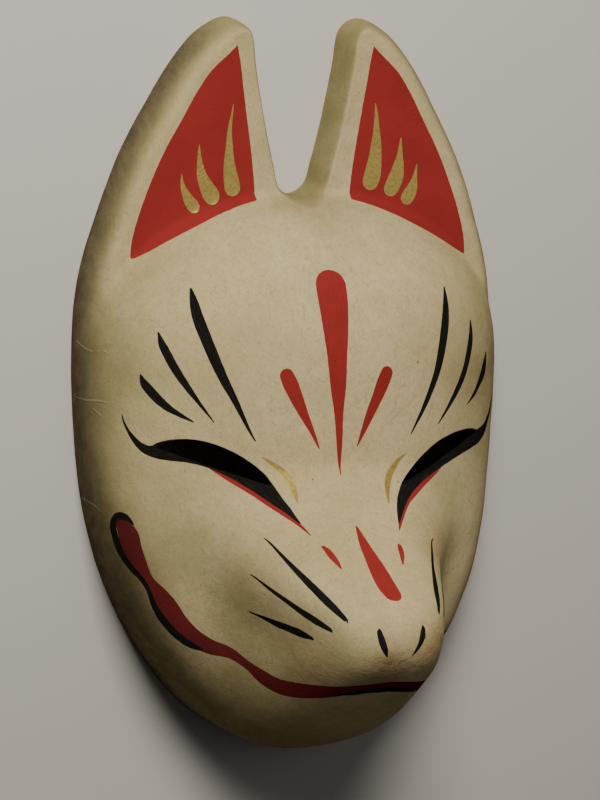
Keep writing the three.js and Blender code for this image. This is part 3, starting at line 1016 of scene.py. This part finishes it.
def mark_cover(tree, name, softness=edge_softness):
    """How much a colour covers, from 0 to 1, and the streaks of its brush."""
    put(tree, "Attribute", {}, attribute_name=name + "_depth")
    plain_depth = tree.nodes[-1].outputs["Fac"]
    side, half, distance = kept_numbers(tree, name + "_marks")
    depth = compute(tree, "SUBTRACT", half, compute(tree, "ABSOLUTE", side))
    depth = compute(tree, "MAXIMUM", depth, plain_depth)
    waver = compute(tree, "SUBTRACT", grain(tree, 420, detail=2), 0.5)
    depth = plus(tree, depth, times(tree, waver, edge_waver))
    across = times(tree, side, streaks_across)
    place = put(tree, "CombineXYZ", {0: across, 1: times(tree, distance, streaks_along)})
    streak = put(tree, "TexNoise", {"Vector": place, "Scale": 1.0, "Detail": 3.0})
    return remap(tree, depth, -softness, softness), streak


print("edges soft over", 2 * edge_softness, "mm")

# %% [markdown]
# One material carries the ground and all the marks, because they are layers on one skin.
# Red and black dry matt, and gold is mica in glue, so it is partly metal with a sparkle of
# fine grains. Age has left no gloss on any of them.

# %% Painted finish
vermilion = (0.315, 0.034, 0.032, 1)
vermilion_deep = (0.215, 0.022, 0.021, 1)
# The mouth's red is darker than the other red: partly a deeper paint, partly painted shade.
mouth_red_and_shade = (0.152, 0.023, 0.022, 1)
mouth_red_deep_and_shade = (0.092, 0.018, 0.018, 1)
ink = (0.01, 0.01, 0.0095, 1)
ink_worn = (0.024, 0.023, 0.021, 1)
gold = (0.505, 0.385, 0.12, 1)
gold_dark = (0.3, 0.22, 0.062, 1)
thread_pale = (0.74, 0.69, 0.56, 1)
ground_roughness = (0.5, 0.62)
red_roughness = 0.68
ink_roughness = 0.6
gold_roughness = 0.38
gold_metal = 0.35
paint_gloss = 0.0
fold_share = 0.12
relief_distance = 0.28 * MM


def lay_over(tree, under, cover, paint, paint_roughness):
    """Lays a paint over the colour and the roughness that are there."""
    colour, roughness = under
    roughness = put(tree, "Mix", {0: cover, 2: roughness, 3: paint_roughness})
    return blend_colours(tree, cover, colour, paint), roughness


def paint_the_mask(finish):
    tree = finish.node_tree
    colour, dents = ground_colour(tree)
    roughness = remap(tree, grain(tree, 120, detail=4), 0.3, 0.7, *ground_roughness)
    fold, _ = mark_cover(tree, "wrinkle", softness=0.25)
    skin = blend_colours(tree, times(tree, fold, fold_share), colour, thread_pale), roughness

    cover, streak = mark_cover(tree, "red")
    red_patches = remap(tree, grain(tree, 55, detail=4), 0.35, 0.7)
    share = times(tree, remap(tree, streak, 0.35, 0.7), 0.35)
    share = plus(tree, share, times(tree, red_patches, 0.3))
    red = blend_colours(tree, share, vermilion, vermilion_deep)
    skin = lay_over(tree, skin, cover, red, red_roughness)

    # The mouth's darker red is partly painted shade.
    cover, streak = mark_cover(tree, "mouth")
    share = times(tree, plus(tree, streak, red_patches), 0.5)
    maroon_and_shade = blend_colours(tree, share, mouth_red_and_shade, mouth_red_deep_and_shade)
    skin = lay_over(tree, skin, cover, maroon_and_shade, red_roughness)

    cover, streak = mark_cover(tree, "black")
    black = blend_colours(tree, remap(tree, streak, 0.4, 0.75), ink, ink_worn)
    skin = lay_over(tree, skin, cover, black, ink_roughness)

    cover, streak = mark_cover(tree, "gold")
    mica = remap(tree, grain(tree, 900, detail=2), 0.4, 0.7)
    gilt = blend_colours(tree, times(tree, plus(tree, mica, streak), 0.5), gold, gold_dark)
    colour, roughness = lay_over(tree, skin, cover, gilt, gold_roughness)

    pores = grain(tree, 1300, roughness=0.6)
    lumps = grain(tree, 170, detail=4, roughness=0.6)
    threads = grain(tree, 150, (1, 5, 3), (0, 0, fibre_turns[0]), roughness=0.7)
    relief = dents
    for form, height in ((lumps, 1.0), (pores, 0.12), (threads, 0.5), (fold, 0.8)):
        relief = plus(tree, relief, times(tree, form, height))
    bump = put(tree, "Bump", {"Strength": 0.6, "Distance": relief_distance, "Height": relief})
    inputs = {"Base Color": colour, "Roughness": roughness, "Normal": bump}
    inputs["Metallic"] = times(tree, cover, gold_metal)
    inputs["Specular IOR Level"] = paint_gloss
    set_inputs(tree, tree.nodes["Principled BSDF"], inputs)
    return len(tree.nodes)


print("painted finish of", paint_the_mask(paint_finish), "nodes")

# %% [markdown]
# The back stays bare: strips of brown mulberry paper, torn and pasted in layers. Cells with
# a wandering border make the strips, each of a slightly different brown, and a step in the
# relief at each border gives the torn edge. The cut of the slits takes the painter's ink.

# %% Bare paper and inked cut
paper_pale = (0.5, 0.41, 0.28, 1)
paper_dark = (0.33, 0.245, 0.15, 1)
paper_roughness = 0.88
strip_turn = 0.4
strips_per_metre = 34.0
tear_wander = 0.012
strip_share = 0.38
fibre_share = 0.6
torn_height = 0.4 * MM
cut_ink_gloss = 0.1


def lay_bare_paper(finish):
    tree = finish.node_tree
    place = object_place(tree)
    put(tree, "TexNoise", {"Vector": place, "Scale": 60.0, "Detail": 3.0})
    wander = {0: tree.nodes[-1].outputs["Color"], 1: (tear_wander, tear_wander, tear_wander)}
    wander = put(tree, "VectorMath", wander, operation="MULTIPLY")
    torn = put(tree, "VectorMath", {0: place, 1: wander}, operation="ADD")
    turned = {0: torn, "Rotation": (0, 0, strip_turn), "Scale": (1, 0.45, 1)}
    put(tree, "TexVoronoi", {"Vector": put(tree, "Mapping", turned), "Scale": strips_per_metre})
    strip = put(tree, "SeparateColor", {0: tree.nodes[-1].outputs["Color"]})
    fibre = grain(tree, 130, (1, 9, 4), (0, 0, strip_turn), detail=4, roughness=0.7)
    fibre = times(tree, fibre, fibre_share)
    share = remap(tree, plus(tree, times(tree, strip, strip_share), fibre), 0.2, 0.85)
    relief = {"Strength": 0.8, "Distance": torn_height, "Height": plus(tree, strip, fibre)}
    inputs = {"Base Color": blend_colours(tree, share, paper_pale, paper_dark)}
    inputs["Roughness"] = paper_roughness
    inputs["Normal"] = put(tree, "Bump", relief)
    set_inputs(tree, tree.nodes["Principled BSDF"], inputs)


def ink_the_cut(finish):
    tree = finish.node_tree
    rubbed = remap(tree, grain(tree, 300), 0.5, 0.8)
    inputs = {"Base Color": blend_colours(tree, rubbed, ink, ink_worn)}
    inputs["Roughness"] = ink_roughness
    inputs["Specular IOR Level"] = cut_ink_gloss
    set_inputs(tree, tree.nodes["Principled BSDF"], inputs)


lay_bare_paper(bare_finish)
ink_the_cut(ink_finish)
print("bare paper and inked cut done")

# %% [markdown]
# The mask has soft turns and two kinds of sharp edge: the rim and the cut of the slits.
# Shading smooth by angle keeps those edges and smooths the rest. It rides on the root body,
# and stands for the imported solid.

# %% Smooth shading, and the mask in its place
sharp_angle = math.radians(38)

select_only(mask)
bpy.ops.object.shade_smooth_by_angle(angle=sharp_angle)
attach(mask, "root")
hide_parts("mask")
triangles = sum(len(face.vertices) - 2 for face in mask.data.polygons)
print("kitsune_mask has", triangles, "triangles")

# %% [markdown]
# The light is soft studio light. A large warm panel stands above the ears, a little to the
# left, so the chin and the right of the muzzle fall into shade. A weak broad panel fills the
# shade from the right, and a dim pale sky lights the rest.

# %% Lights
sky_colour = (1.0, 0.97, 0.92, 1)
sky_strength = 0.04


def panel(name, place, size, watts, colour):
    light = added(bpy.ops.object.light_add, type="AREA", location=place)
    light.name = name
    light.data.size = size
    light.data.energy = watts
    light.data.color = colour
    light.rotation_euler = (looked_at - Vector(place)).to_track_quat("-Z", "Y").to_euler()


panel("key_panel", (-0.22, 0.68, 0.78), 0.45, 12.5, (1.0, 0.93, 0.82))
panel("fill_panel", (0.5, 0.4, 1.6), 1.0, 1.2, (1.0, 0.96, 0.9))
sky = bpy.data.worlds.new("soft_sky")
sky.use_nodes = True
sky_inputs = sky.node_tree.nodes["Background"].inputs
sky_inputs["Color"].default_value = sky_colour
sky_inputs["Strength"].default_value = sky_strength
bpy.context.scene.world = sky

# %% Sizes at the end
visual_low, visual_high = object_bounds()
grown = visual_high - visual_low - (cad_high - cad_low)
print("grown by", [round(v / MM, 2) for v in grown], "mm")
